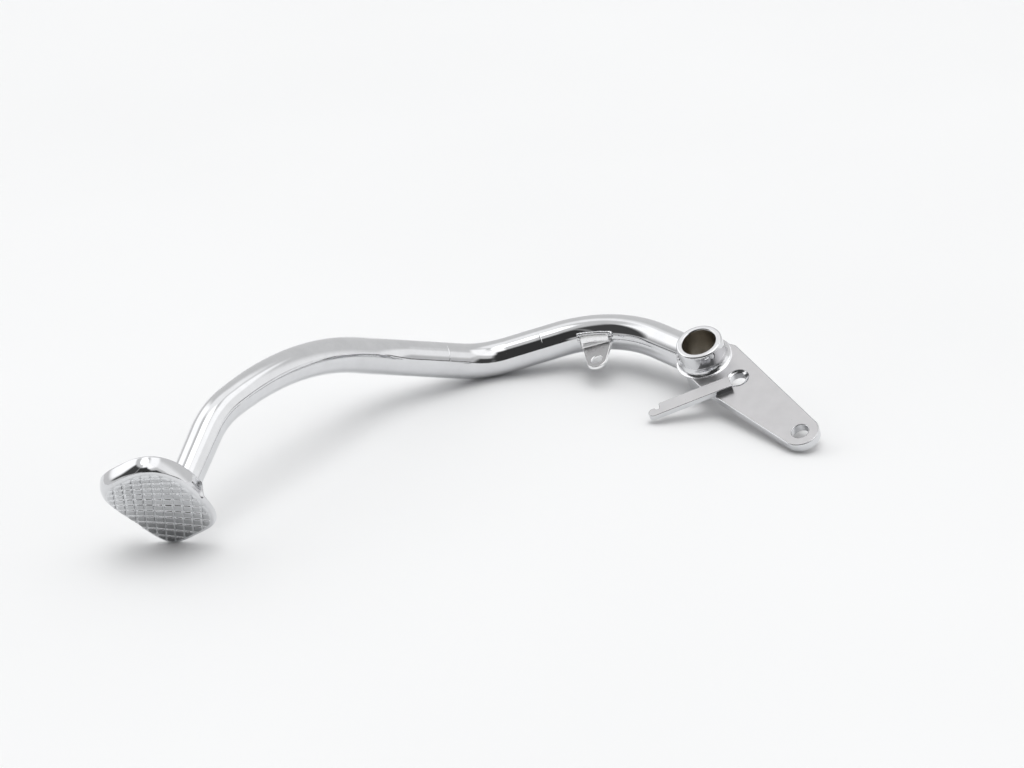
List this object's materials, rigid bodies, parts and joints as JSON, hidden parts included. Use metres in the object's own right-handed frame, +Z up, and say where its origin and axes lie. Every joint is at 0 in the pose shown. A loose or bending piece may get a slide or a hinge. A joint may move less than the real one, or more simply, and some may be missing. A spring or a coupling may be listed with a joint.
{
  "type": "rear brake pedal",
  "caption": "Bent tubular brake pedal with a pivot sleeve, a tapering rod arm plate, a notched spring hook, a small switch tab and a pressed foot pad with a waffle tread.",
  "frame": {"origin": "centre of the pivot bore", "axes": "the pedal lies at rest on a table: +X to the rod arm's side, away from the foot pad, +Y away from the viewer, +Z up, square to the table; the table is below the origin"},
  "size_m": [0.3346, 0.193, 0.0597],
  "materials": {
    "chrome_skin": "polished",
    "satin_plate": "satin",
    "weld_bead": "rough cast"
  },
  "bodies": {
    "root": {"lever_tube": "chrome_skin", "pivot_sleeve": "chrome_skin", "rod_arm": "satin_plate", "spring_hook": "satin_plate", "switch_tab": "satin_plate", "foot_pad": "chrome_skin", "sleeve_weld": "weld_bead", "tube_weld": "weld_bead", "hook_weld": "weld_bead", "tab_weld": "weld_bead", "pad_weld": "weld_bead"}
  },
  "joints": []
}
